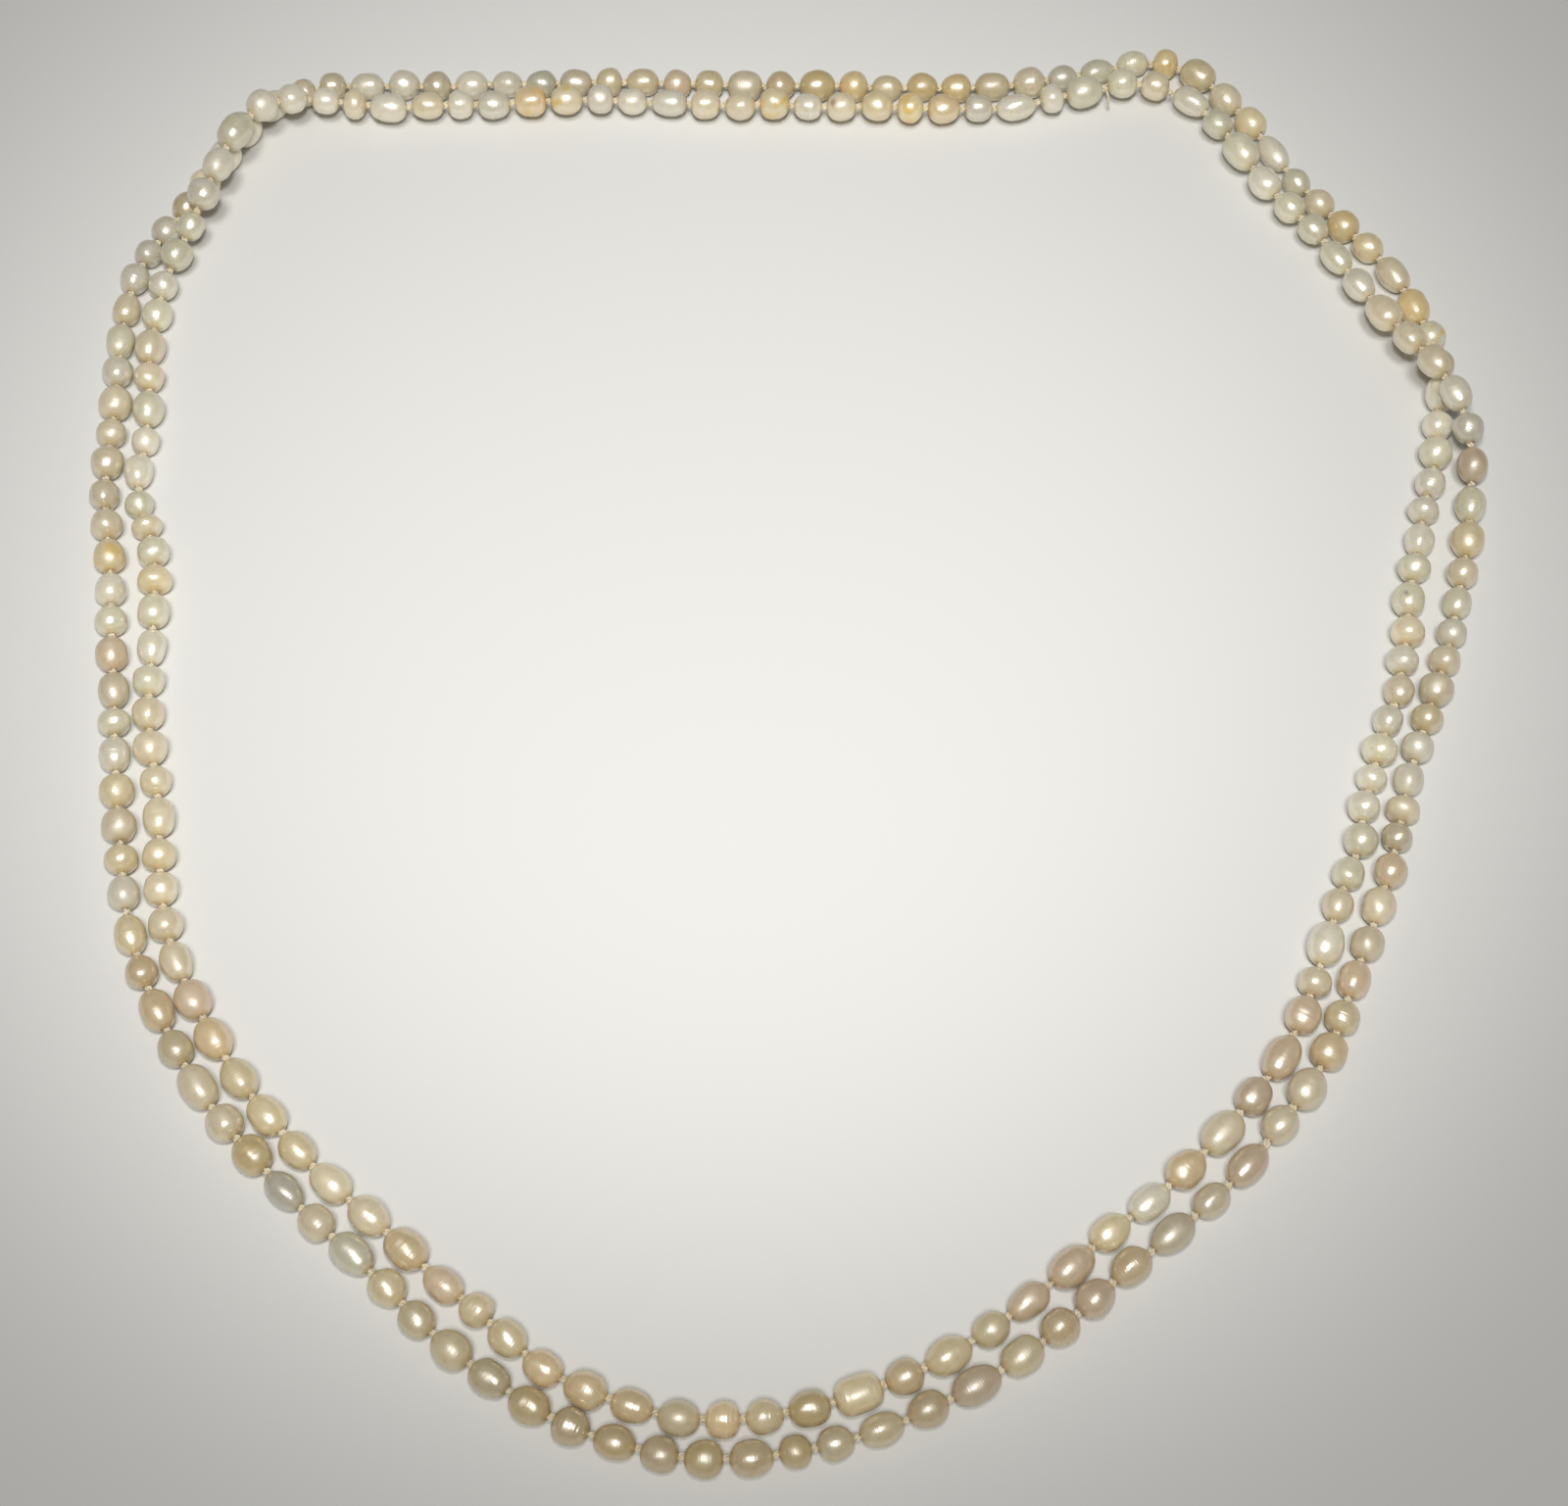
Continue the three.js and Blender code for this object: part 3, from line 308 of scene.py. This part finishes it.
def pearl(i):
    """Vertices (mm), quads, tint colours and axial positions of one drilled pearl."""
    x, y, z, al, b = P[i]
    family, tone, form = PEARLS[i][6][0], int(PEARLS[i][6][1]), PEARLS[i][6][2]
    t = T[i]
    side, rise = axes(t)
    c = np.array([x, y, z])
    p = {"b": 2.9, "r": 2.25}.get(form, 2.0 + 0.35 * rnd(i, 1))
    p = min(p, 2.0 + 1.3 * max(0.0, al / b - 0.62)) if form != "b" else p
    taper = (rnd(i, 2) - 0.5) * 0.16
    lump = 0.030 + 0.045 * rnd(i, 3)
    rings = []
    if form == "r":
        n = 4 + int(3 * rnd(i, 4))
        rings = [(-0.62 + 1.24 * (k + 0.5 * rnd(i, 20 + k)) / n, 0.045 + 0.03 * rnd(i, 30 + k), 0.012 + 0.020 * rnd(i, 40 + k)) for k in range(n)]
    elif form == "b":
        rings = [(-0.52, 0.05, 0.022), (0.50, 0.05, 0.026), (0.12, 0.04, 0.006), (-0.2, 0.03, 0.006)]
    elif rnd(i, 5) < 0.42:
        n = 1 + int(2.6 * rnd(i, 6))
        rings = [(-0.7 + 1.4 * rnd(i, 50 + k), 0.05 + 0.06 * rnd(i, 60 + k), 0.006 + 0.013 * rnd(i, 70 + k)) for k in range(n)]
    pits = []
    npit = int(3.4 * rnd(i, 7))
    if form == "t":
        npit = 1
    for k in range(npit):
        pits.append((0.6 + 1.9 * rnd(i, 80 + k), 2 * math.pi * rnd(i, 90 + k), 0.10 + 0.16 * rnd(i, 100 + k), 0.010 + 0.022 * rnd(i, 110 + k)))
    if form == "t":
        pits = [(1.66, 1.22, 0.13, 0.085)]
    if form == "k":
        pits = []
    flat_at, flat_by = 2 * math.pi * rnd(i, 8), 0.05 * rnd(i, 9)
    psi0 = math.asin(min(0.5, (HOLE + 0.10) / b))
    rows = [("o", psi0 + (math.pi - 2 * psi0) * k / (ROWS - 1)) for k in range(ROWS)]
    verts, ax, shade = [], [], []
    phis = [2 * math.pi * s / SEG for s in range(SEG)]
    s0 = 37.0 * rnd(i, 10)
    for _, psi in rows:
        cs, sn = math.cos(psi), math.sin(psi)
        a = -al * math.copysign(abs(cs) ** (2 / p), cs)
        rr = b * sn ** (2 / p)
        u = a / al
        ring = 1.0 - sum(dp * math.exp(-(((u - q) / w) ** 2)) for q, w, dp in rings)
        ridge = 1.0 + sum(0.35 * dp * math.exp(-(((u - q - 1.9 * w) / w) ** 2)) for q, w, dp in rings)
        for ph in phis:
            cp, sp = math.cos(ph), math.sin(ph)
            dx, dy, dz = -cs, sn * cp, sn * sp
            n1 = nz(dx * 1.15 + s0, dy * 1.15 - s0, dz * 1.15 + 2 * s0)
            n2 = nz(dx * 2.6 - s0, dy * 2.6 + 3 * s0, dz * 2.6)
            n3 = nz(dx * 5.2 + 7 * s0, dy * 5.2, dz * 5.2 - 2 * s0)
            k = 1.0 + lump * n1 + (0.010 + 0.012 * rnd(i, 12)) * n2 + 0.0075 * rnd(i, 13) * n3 - 0.012
            k *= 1.0 + taper * u * sn
            k *= 1.0 - flat_by * max(0.0, math.cos(ph - flat_at)) ** 3 * sn
            wob = 1.0 + 0.5 * math.sin(ph * 2 + s0)
            k *= 1.0 + (ring - 1.0) * (0.65 + 0.35 * wob) + (ridge - 1.0) * wob
            for q, fh, w, dp in pits:
                dd = math.hypot(psi - q, ((ph - fh + math.pi) % (2 * math.pi) - math.pi) * sn)
                k -= dp * math.exp(-((dd / w) ** 2))
            if form == "k":
                dd = abs((ph - 1.3 + math.pi) % (2 * math.pi) - math.pi - 0.25 * math.sin(3.1 * psi))
                k -= 0.020 * math.exp(-((dd / 0.10) ** 2)) * max(0.0, sn - 0.35)
            r = rr * k
            verts.append(c + t * a * (1 + 0.35 * (lump * n1)) + (side * cp + rise * sp) * r)
            ax.append(a)
            shade.append((dx, dy, dz, u, sn))
    # rim of the drill hole, then the hole itself
    a0 = al * math.cos(psi0) ** (2 / p)
    for a, r in ((a0 - 0.10, HOLE), (a0 * 0.45, HOLE * 0.97), (-a0 * 0.45, HOLE * 0.97), (-a0 + 0.10, HOLE)):
        for ph in phis:
            verts.append(c + t * a + (side * math.cos(ph) + rise * math.sin(ph)) * r)
            ax.append(a)
            shade.append((math.copysign(1, a), 0, 0, a / al, 0.0))
    n = ROWS + 4
    quads = []
    for j in range(n):
        j2 = (j + 1) % n
        for s in range(SEG):
            s2 = (s + 1) % SEG
            quads.append((j * SEG + s, j2 * SEG + s, j2 * SEG + s2, j * SEG + s2))
    verts = np.array(verts)
    if LIES[i]:
        verts[:, 2] -= verts[:, 2].min()
    # colour: the family's two tones drift over the pearl, warmer at the ends
    c0, c1 = (np.array(v) for v in TINTS[family])
    depth = 1.0 + (tone - 5) * 0.055
    cols = np.empty((len(verts), 4))
    for k, (dx, dy, dz, u, sn) in enumerate(shade):
        m = 0.5 + 1.15 * nz(dx * 1.4 + 5 * s0, dy * 1.4, dz * 1.4 - s0)
        m = min(1.0, max(0.0, m))
        col = c0 + (c1 - c0) * m
        end = max(0.0, (abs(u) - 0.70) / 0.30) ** 2
        col = col * (1 - end * np.array((0.05, 0.14, 0.30)))
        if form == "s":
            g = nz(dx * 1.7 - 3 * s0, dy * 1.7 + s0, dz * 1.7 + 9.0)
            g = min(1.0, max(0.0, (g - 0.02) * 4.0))
            col = col * (1 - g * np.array((0.00, 0.13, 0.52)))
        col = col * depth * (1.0 + 0.05 * nz(dx * 3.1, dy * 3.1 + 4 * s0, dz * 3.1))
        cols[k, :3] = np.clip(col, 0.02, 0.95)
        cols[k, 3] = 1.0
    if form == "t":
        tip = np.array([c + t * (-al * math.cos(1.66)) + (side * math.cos(1.22) + rise * math.sin(1.22)) * b * 0.93])
        near = np.linalg.norm(verts - tip, axis=1)
        cols[:, :3] *= (1 - 0.72 * np.exp(-((near / 0.34) ** 2)))[:, None]
    if form == "h":
        tip = np.array([c + side * b * 0.30 + rise * b * 0.75 - t * al * 0.55])
        near = np.linalg.norm(verts - tip, axis=1)
        w = (0.75 * np.exp(-((near / 0.62) ** 4)))[:, None]
        cols[:, :3] = cols[:, :3] * (1 - w) + np.array((0.36, 0.22, 0.10)) * w
    return verts, quads, cols, np.array(ax) + 11.0 * i, np.full(len(verts), 0.15 * rnd(i, 301) ** 1.6)


# ---- silk --------------------------------------------------------------------
def frames_along(pts):
    """A frame at each point of a path that turns as little as it can."""
    tans = [unit(pts[min(i + 1, len(pts) - 1)] - pts[max(i - 1, 0)]) for i in range(len(pts))]
    side = np.cross(tans[0], [0.13, 0.21, 0.97])
    side = unit(side)
    out = []
    for t in tans:
        side = unit(side - t * np.dot(side, t))
        out.append((side, np.cross(t, side)))
    return out


def tube(pts, radius, sides=10, plies=0, lay=1.1, closed=False, phase=0.0):
    """A tube round a path, its plies laid up as ridges that twist round it."""
    pts = [np.array(p, float) for p in pts]
    n = len(pts)
    if closed:
        tans = [unit(pts[(i + 1) % n] - pts[i - 1]) for i in range(n)]
        fr, side = [], unit(np.cross(tans[0], [0.31, 0.2, 0.9]))
        for t in tans:
            side = unit(side - t * np.dot(side, t))
            fr.append((side, np.cross(t, side)))
        # take the closing turn out evenly
        last = unit(fr[-1][0] - tans[0] * np.dot(fr[-1][0], tans[0]))
        off = math.atan2(np.dot(last, fr[0][1]), np.dot(last, fr[0][0]))
        fr = [(s * math.cos(-off * k / n) + u * math.sin(-off * k / n), u * math.cos(-off * k / n) - s * math.sin(-off * k / n)) for k, (s, u) in enumerate(fr)]
    else:
        fr = frames_along(pts)
    s_len = [0.0]
    for i in range(1, n):
        s_len.append(s_len[-1] + np.linalg.norm(pts[i] - pts[i - 1]))
    total = s_len[-1] + (np.linalg.norm(pts[0] - pts[-1]) if closed else 0)
    turns = 2 * math.pi / lay
    if closed and plies:
        turns = 2 * math.pi * max(1, round(total / lay * plies)) / plies / total
    verts = []
    for i, p in enumerate(pts):
        a, bb = fr[i]
        r0 = radius[i] if hasattr(radius, "__len__") else radius
        for s in range(sides):
            ph = 2 * math.pi * s / sides
            r = r0 * (1 + 0.16 * math.cos(plies * (ph - turns * s_len[i]) + phase)) if plies else r0
            verts.append(p + (a * math.cos(ph) + bb * math.sin(ph)) * r)
    quads = []
    m = n if closed else n - 1
    for i in range(m):
        i2 = (i + 1) % n
        for s in range(sides):
            s2 = (s + 1) % sides
            quads.append((i * sides + s, i2 * sides + s, i2 * sides + s2, i * sides + s2))
    if not closed:
        for i, flip in ((0, True), (n - 1, False)):
            k = len(verts)
            verts.append(pts[i])
            for s in range(sides):
                s2 = (s + 1) % sides
                e = (i * sides + s, i * sides + s2, k)
                quads.append(e[::-1] if not flip else e)
    return np.array(verts), quads


THREAD = 0.235


def knot_lump(i):
    """The overhand knot between pearl i and the next: a trefoil of thread drawn tight round the silk."""
    i = wrap(i)
    c = K[i]
    t = unit(T[i] + T[wrap(i + 1)])
    side, rise = axes(t)
    spin = 2 * math.pi * rnd(i, 201)
    gap = np.linalg.norm(P[wrap(i + 1), :3] - P[i, :3]) - P[i, 3] - P[wrap(i + 1), 3]
    size = 0.41 + 0.09 * rnd(i, 202)
    long = min(0.30, 0.5 * gap) * 0.80
    r = 0.175 + 0.025 * rnd(i, 203)
    if i in (CLOSING_KNOT, 23):
        size, long, r = 0.52, 0.42, 0.20
    n = 44
    pts = []
    for k in range(n):
        a = 2 * math.pi * k / n
        u = (math.sin(a) + 2 * math.sin(2 * a)) / 3 * size
        v = (math.cos(a) - 2 * math.cos(2 * a)) / 3 * size
        w = -math.sin(3 * a) * long
        cu, su = math.cos(spin), math.sin(spin)
        pts.append(c + side * (u * cu - v * su) + rise * (u * su + v * cu) + t * w)
    return tube(pts, r, sides=8, plies=2, lay=0.9, closed=True)


def thread_points(ks, lead=0.5, tail=0.5):
    """Points along the silk from just before the first pearl in ks to just after the last."""
    pts = []
    for n, i in enumerate(ks):
        c, t, al = P[i, :3], T[i], P[i, 3]
        if n == 0 and lead:
            pts.append(K[wrap(i - 1)])
        for f in (-0.98, -0.5, 0.5, 0.98):
            pts.append(c + t * al * f)
        if n < len(ks) - 1 or tail:
            pts.append(K[i])
    # finer steps where the silk is bare
    out = []
    for a, b in zip(pts, pts[1:]):
        d = np.linalg.norm(b - a)
        steps = max(1, int(d / 0.14)) if d < 1.3 else max(2, int(d / 0.5))
        for k in range(steps):
            out.append(a + (b - a) * k / steps)
    out.append(pts[-1])
    return out


def make(name, parts, material, smooth=True, cols=None, ax=None, satin=None):
    """One object from several (vertices in mm, faces) parts."""
    verts, faces, base = [], [], 0
    for v, f in parts:
        verts.append(v)
        faces.extend(tuple(k + base for k in q) for q in f)
        base += len(v)
    mesh = bpy.data.meshes.new(name)
    mesh.from_pydata((np.vstack(verts) * MM).tolist(), [], faces)
    if cols is not None:
        a = mesh.color_attributes.new("tint", "FLOAT_COLOR", "POINT")
        a.data.foreach_set("color", np.vstack(cols).astype(np.float32).ravel())
    if ax is not None:
        a = mesh.attributes.new("along", "FLOAT", "POINT")
        a.data.foreach_set("value", np.concatenate(ax).astype(np.float32))
    if satin is not None:
        a = mesh.attributes.new("satin", "FLOAT", "POINT")
        a.data.foreach_set("value", np.concatenate(satin).astype(np.float32))
    mesh.polygons.foreach_set("use_smooth", [smooth] * len(mesh.polygons))
    mesh.materials.append(material)
    mesh.update()
    obj = bpy.data.objects.new(name, mesh)
    scene.collection.objects.link(obj)
    return obj


# ---- materials ---------------------------------------------------------------
def new_material(name):
    m = bpy.data.materials.new(name)
    m.use_nodes = True
    nt = m.node_tree
    for n in list(nt.nodes):
        nt.nodes.remove(n)
    out = nt.nodes.new("ShaderNodeOutputMaterial")
    bsdf = nt.nodes.new("ShaderNodeBsdfPrincipled")
    nt.links.new(bsdf.outputs[0], out.inputs[0])
    return m, nt, bsdf


def nacre():
    m, nt, b = new_material("nacre")
    N_, L_ = nt.nodes.new, nt.links.new
    tint = N_("ShaderNodeAttribute")
    tint.attribute_name = "tint"
    along = N_("ShaderNodeAttribute")
    along.attribute_name = "along"
    co = N_("ShaderNodeTexCoord")
    # cloudy drift of tone, half a millimetre to two millimetres across
    cloud = N_("ShaderNodeTexNoise")
    cloud.inputs["Scale"].default_value = 620.0
    cloud.inputs["Detail"].default_value = 4.0
    cloud.inputs["Roughness"].default_value = 0.55
    L_(co.outputs["Object"], cloud.inputs["Vector"])
    ramp = N_("ShaderNodeValToRGB")
    ramp.color_ramp.elements[0].position = 0.30
    ramp.color_ramp.elements[0].color = (0.90, 0.875, 0.83, 1)
    ramp.color_ramp.elements[1].position = 0.68
    ramp.color_ramp.elements[1].color = (1.0, 1.0, 1.0, 1)
    e = ramp.color_ramp.elements.new(0.50)
    e.color = (0.985, 0.955, 0.935, 1)
    L_(cloud.outputs["Fac"], ramp.inputs["Fac"])
    mix = N_("ShaderNodeMix")
    mix.data_type = "RGBA"
    mix.blend_type = "MULTIPLY"
    mix.inputs["Factor"].default_value = 1.0
    L_(tint.outputs["Color"], mix.inputs["A"])
    L_(ramp.outputs["Color"], mix.inputs["B"])
    # growth lines round the drill axis
    line = N_("ShaderNodeTexNoise")
    line.noise_dimensions = "1D"
    line.inputs["Scale"].default_value = 5.5
    line.inputs["Detail"].default_value = 3.0
    L_(along.outputs["Fac"], line.inputs["W"])
    lr = N_("ShaderNodeValToRGB")
    lr.color_ramp.elements[0].position = 0.32
    lr.color_ramp.elements[0].color = (0.955, 0.94, 0.90, 1)
    lr.color_ramp.elements[1].position = 0.58
    lr.color_ramp.elements[1].color = (1, 1, 1, 1)
    L_(line.outputs["Fac"], lr.inputs["Fac"])
    mix2 = N_("ShaderNodeMix")
    mix2.data_type = "RGBA"
    mix2.blend_type = "MULTIPLY"
    mix2.inputs["Factor"].default_value = 1.0
    L_(mix.outputs["Result"], mix2.inputs["A"])
    L_(lr.outputs["Color"], mix2.inputs["B"])
    L_(mix2.outputs["Result"], b.inputs["Base Color"])
    # gloss wanders a little
    gl = N_("ShaderNodeTexNoise")
    gl.inputs["Scale"].default_value = 380.0
    gl.inputs["Detail"].default_value = 2.0
    L_(co.outputs["Object"], gl.inputs["Vector"])
    mr = N_("ShaderNodeMapRange")
    mr.inputs["From Min"].default_value = 0.3
    mr.inputs["From Max"].default_value = 0.7
    mr.inputs["To Min"].default_value = ROUGH[0]
    mr.inputs["To Max"].default_value = ROUGH[1]
    L_(gl.outputs["Fac"], mr.inputs["Value"])
    satin = N_("ShaderNodeAttribute")
    satin.attribute_name = "satin"
    add = N_("ShaderNodeMath")
    add.operation = "ADD"
    L_(mr.outputs["Result"], add.inputs[0])
    L_(satin.outputs["Fac"], add.inputs[1])
    L_(add.outputs["Value"], b.inputs["Roughness"])
    # fine skin: growth lines and small grain
    b1 = N_("ShaderNodeBump")
    b1.inputs["Strength"].default_value = 0.55
    b1.inputs["Distance"].default_value = 0.00006
    L_(line.outputs["Fac"], b1.inputs["Height"])
    grain = N_("ShaderNodeTexNoise")
    grain.inputs["Scale"].default_value = 900.0
    grain.inputs["Detail"].default_value = 3.0
    L_(co.outputs["Object"], grain.inputs["Vector"])
    b2 = N_("ShaderNodeBump")
    b2.inputs["Strength"].default_value = 0.30
    b2.inputs["Distance"].default_value = 0.00010
    L_(grain.outputs["Fac"], b2.inputs["Height"])
    L_(b1.outputs["Normal"], b2.inputs["Normal"])
    L_(b2.outputs["Normal"], b.inputs["Normal"])
    b.inputs["IOR"].default_value = 3.0
    b.inputs["Specular Tint"].default_value = (1.0, 0.97, 0.915, 1)
    b.inputs["Subsurface Weight"].default_value = 0.40
    b.inputs["Subsurface Radius"].default_value = (1.0, 0.72, 0.42)
    b.inputs["Subsurface Scale"].default_value = 0.0014
    b.inputs["Coat Weight"].default_value = 0.35
    b.inputs["Coat Roughness"].default_value = 0.20
    b.inputs["Coat IOR"].default_value = 1.55
    return m


def silk():
    m, nt, b = new_material("silk_thread")
    N_, L_ = nt.nodes.new, nt.links.new
    co = N_("ShaderNodeTexCoord")
    n1 = N_("ShaderNodeTexNoise")
    n1.inputs["Scale"].default_value = 1500.0
    n1.inputs["Detail"].default_value = 4.0
    L_(co.outputs["Object"], n1.inputs["Vector"])
    r = N_("ShaderNodeValToRGB")
    r.color_ramp.elements[0].position = 0.28
    r.color_ramp.elements[0].color = (0.66, 0.56, 0.37, 1)
    r.color_ramp.elements[1].position = 0.66
    r.color_ramp.elements[1].color = (0.87, 0.79, 0.61, 1)
    L_(n1.outputs["Fac"], r.inputs["Fac"])
    L_(r.outputs["Color"], b.inputs["Base Color"])
    n2 = N_("ShaderNodeTexNoise")
    n2.inputs["Scale"].default_value = 9000.0
    n2.inputs["Detail"].default_value = 2.0
    L_(co.outputs["Object"], n2.inputs["Vector"])
    bp = N_("ShaderNodeBump")
    bp.inputs["Strength"].default_value = 0.5
    bp.inputs["Distance"].default_value = 0.00004
    L_(n2.outputs["Fac"], bp.inputs["Height"])
    L_(bp.outputs["Normal"], b.inputs["Normal"])
    b.inputs["Roughness"].default_value = 0.62
    b.inputs["Sheen Weight"].default_value = 0.35
    b.inputs["Sheen Roughness"].default_value = 0.4
    b.inputs["Subsurface Weight"].default_value = 0.15
    b.inputs["Subsurface Radius"].default_value = (1.0, 0.8, 0.5)
    b.inputs["Subsurface Scale"].default_value = 0.0003
    return m


ROUGH = (0.22, 0.36)
NACRE, SILK = nacre(), silk()

# ---- pieces ------------------------------------------------------------------
bend_at = {k for k, _, _, _ in BENDS}
body_of_run = {}
for name, first, count, body in RUNS:
    ks = [wrap(first + n) for n in range(count)]
    parts, cols, ax, sat = [], [], [], []
    for i in ks:
        v, q, c, a, g = pearl(i)
        sat.append(g)
        parts.append((v, q))
        cols.append(c)
        ax.append(a)
    o = make("pearls_" + name, parts, NACRE, cols=cols, ax=ax, satin=sat)
    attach(o, body)
    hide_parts(name)

    before, after = wrap(ks[0] - 1), ks[-1]
    lead = not (before in bend_at or before in FREE_KNOTS)
    tail = after not in bend_at
    own = [k for k in ks[:-1]] + ([after] if tail else [])
    sp = [tube(thread_points(ks, lead, tail), THREAD, sides=9, plies=3)]
    sp += [knot_lump(k) for k in own]
    s = make("silk_" + name, sp, SILK)
    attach(s, body)

for k, parent, child, first_is_parent in BENDS:
    t = unit(T[k] + T[wrap(k + 1)])
    a, b = P[k, :3] + T[k] * P[k, 3] * 0.90, P[wrap(k + 1), :3] - T[wrap(k + 1)] * P[wrap(k + 1), 3] * 0.90
    pts = [a + (K[k] - a) * n / 5 for n in range(5)] + [K[k] + (b - K[k]) * n / 5 for n in range(6)]
    o = make("silk_bend_%03d" % k, [tube(pts, THREAD, sides=9, plies=3), knot_lump(k)], SILK)
    s, e = K[k] - t * 0.36, K[k] + t * 0.36
    if not first_is_parent:
        s, e = e, s
    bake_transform(o)

# the cut end of the silk at the closing knot: a short stem that parts into three plies
root = K[CLOSING_KNOT]
stem = [root, root + (np.array(TAIL[0]) - root) * 0.5] + [np.array(p) for p in TAIL[:3]]


def smooth_path(pts, steps=6):
    pts = [np.array(p, float) for p in pts]
    ext = [2 * pts[0] - pts[1]] + pts + [2 * pts[-1] - pts[-2]]
    out = []
    for i in range(1, len(ext) - 2):
        p0, p1, p2, p3 = ext[i - 1 : i + 3]
        for k in range(steps):
            u = k / steps
            out.append(0.5 * (2 * p1 + (p2 - p0) * u + (2 * p0 - 5 * p1 + 4 * p2 - p3) * u * u + (3 * p1 - p0 - 3 * p2 + p3) * u ** 3))
    out.append(pts[-1])
    return out


sp = [tube(smooth_path(stem), 0.20, sides=9, plies=3)]
e2, e3 = np.array(TAIL[2]), np.array(TAIL[3])
for k, (dx, dy) in enumerate(((0.16, -0.05), (-0.12, -0.02), (0.02, 0.10))):
    d = np.array((dx, dy, 0.0))
    sp.append(tube(smooth_path([e2 + np.array((0, 0, 0.25)), e2 + d * 0.3, (e2 + e3) / 2 + d * 0.8, e3 + d * 1.6 + np.array((0, 0, 0.15 * k))]), 0.085, sides=7))
o = make("silk_tail", sp, SILK)
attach(o, "inner_25_26")
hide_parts("closing_knot_tail")

# ---- floor and light -----------------------------------------------------------
mesh = bpy.data.meshes.new("floor")
S = 6.0
mesh.from_pydata([(-S, -S, 0), (S, -S, 0), (S, S, 0), (-S, S, 0)], [], [(0, 1, 2, 3)])
floor = bpy.data.objects.new("floor", mesh)
scene.collection.objects.link(floor)
fm, fnt, fb = new_material("floor_pale")
fb.inputs["Base Color"].default_value = (0.80, 0.80, 0.78, 1)
fb.inputs["Roughness"].default_value = 0.9
fb.inputs["Specular IOR Level"].default_value = 0.15
mesh.materials.append(fm)

world = bpy.data.worlds.new("world")
world.use_nodes = True
world.node_tree.nodes["Background"].inputs[0].default_value = (1.0, 0.97, 0.93, 1)
world.node_tree.nodes["Background"].inputs[1].default_value = 0.12
scene.world = world


def area(name, loc, target, size, power, colour=(1, 1, 1)):
    d = bpy.data.lights.new(name, "AREA")
    d.shape = "DISK"
    d.size = size
    d.energy = power
    d.color = colour
    o = bpy.data.objects.new(name, d)
    o.location = loc
    o.rotation_euler = (Vector(target) - Vector(loc)).to_track_quat("-Z", "Y").to_euler()
    scene.collection.objects.link(o)
    return o


def spot(name, loc, target, size, power, angle, colour=(1, 1, 1)):
    d = bpy.data.lights.new(name, "SPOT")
    d.shadow_soft_size = size
    d.energy = power
    d.color = colour
    d.spot_size = math.radians(angle)
    d.spot_blend = 1.0
    o = bpy.data.objects.new(name, d)
    o.location = loc
    o.rotation_euler = (Vector(target) - Vector(loc)).to_track_quat("-Z", "Y").to_euler()
    scene.collection.objects.link(o)
    return o


view_dir = np.array((0.0, math.sin(math.radians(29)), -math.cos(math.radians(29))))
up = np.array((0.0, math.cos(math.radians(29)), math.sin(math.radians(29))))
lens = np.array((-0.00053, -0.23317, 0.39441))
spot("key", tuple(lens + up * 0.100 - view_dir * 0.02), (-0.0108, 0.0221, 0.0), 0.032, 6.1, 43, (1.0, 0.988, 0.972))

# a broad, even softbox from the same side, so that the floor stays pale all round
sd = bpy.data.lights.new("softbox", "SUN")
sd.energy = 1.22
sd.angle = math.radians(14)
sd.color = (1.0, 0.99, 0.97)
so = bpy.data.objects.new("softbox", sd)
so.rotation_euler = Vector((0.0, math.cos(math.radians(70)), -math.sin(math.radians(70)))).to_track_quat("-Z", "Y").to_euler()
so.location = (0, -0.3, 0.8)
scene.collection.objects.link(so)

scene.view_settings.view_transform = "Standard"
